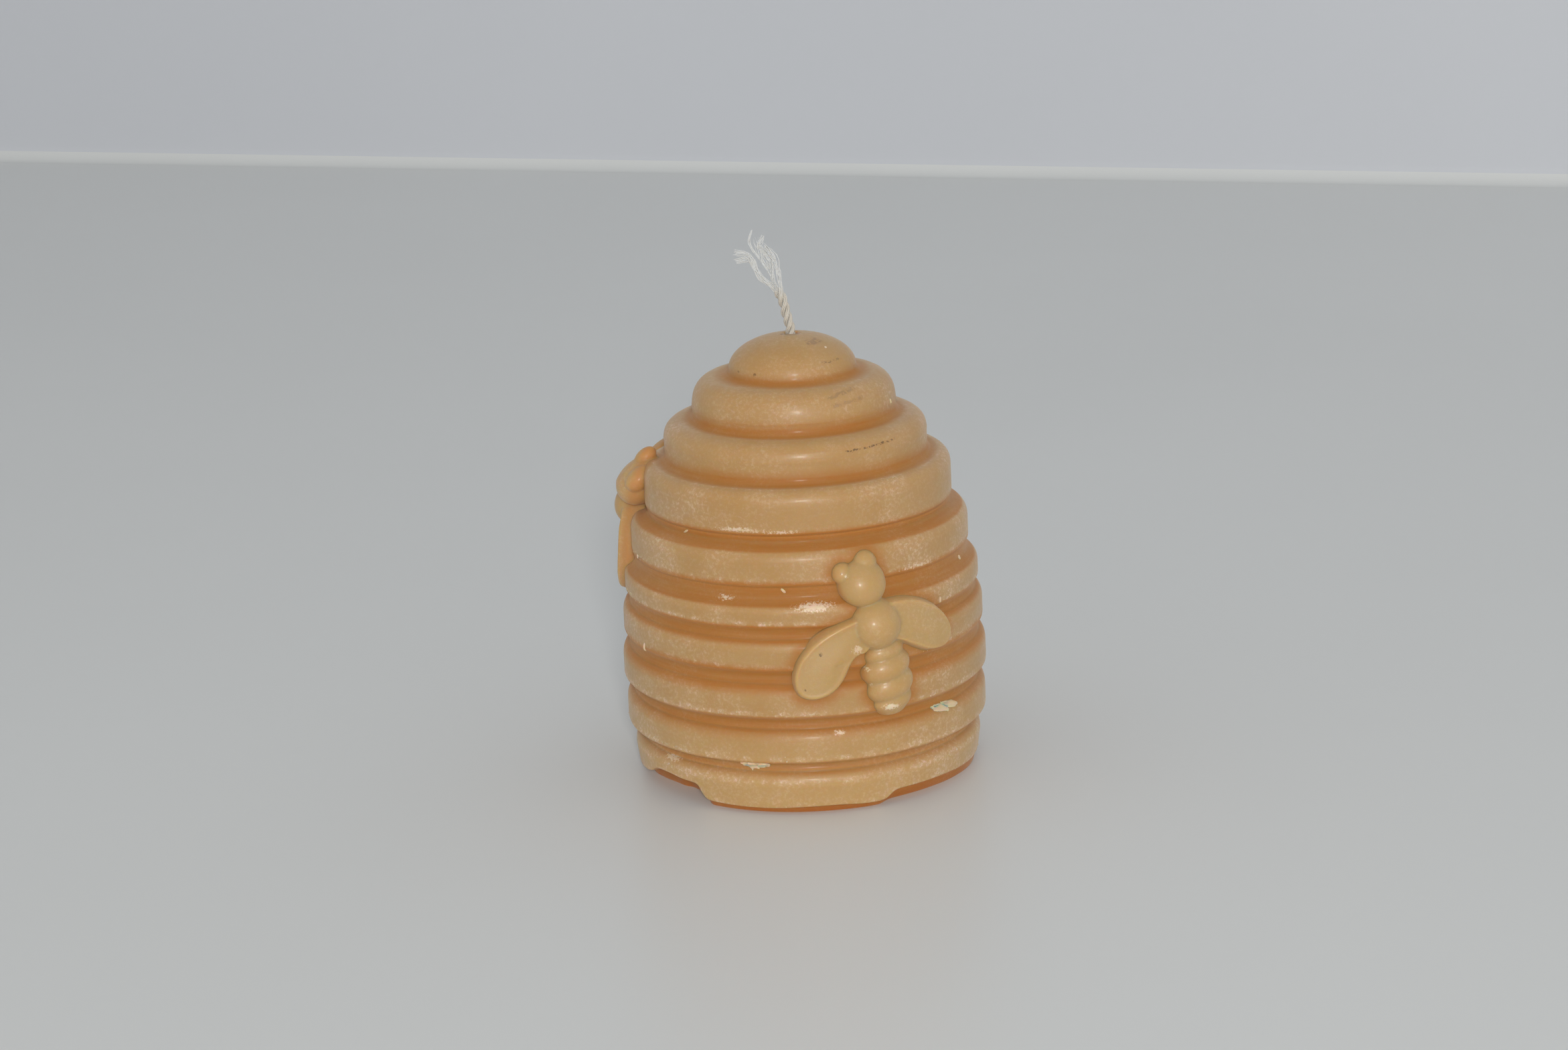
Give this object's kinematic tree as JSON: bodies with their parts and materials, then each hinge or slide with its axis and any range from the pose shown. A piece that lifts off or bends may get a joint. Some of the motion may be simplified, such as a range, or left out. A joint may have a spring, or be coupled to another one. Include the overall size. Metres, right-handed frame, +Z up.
{
  "type": "skep-shaped candle",
  "caption": "Beeswax pillar candle shaped like a coiled skep, with stepped rings, a domed top, relief bees on the sides and a frayed cotton wick.",
  "frame": {"origin": "centre of the base on the axis of the rings, at the level that the candle rests on", "axes": "+Z up along the axis of the rings and the wick, -Y towards the viewer of the picture, +X to the viewer's right"},
  "size_m": [0.0637, 0.0659, 0.0937],
  "materials": {
    "body_wax": "satin, translucent, with pale bloom",
    "bee_wax": "satin, translucent",
    "cotton": "matt, waxed low down and frayed above"
  },
  "bodies": {
    "root": {"wax_body": "body_wax", "front_bee": "bee_wax", "left_bee": "bee_wax", "back_bee": "bee_wax", "wick": "cotton"}
  },
  "joints": []
}
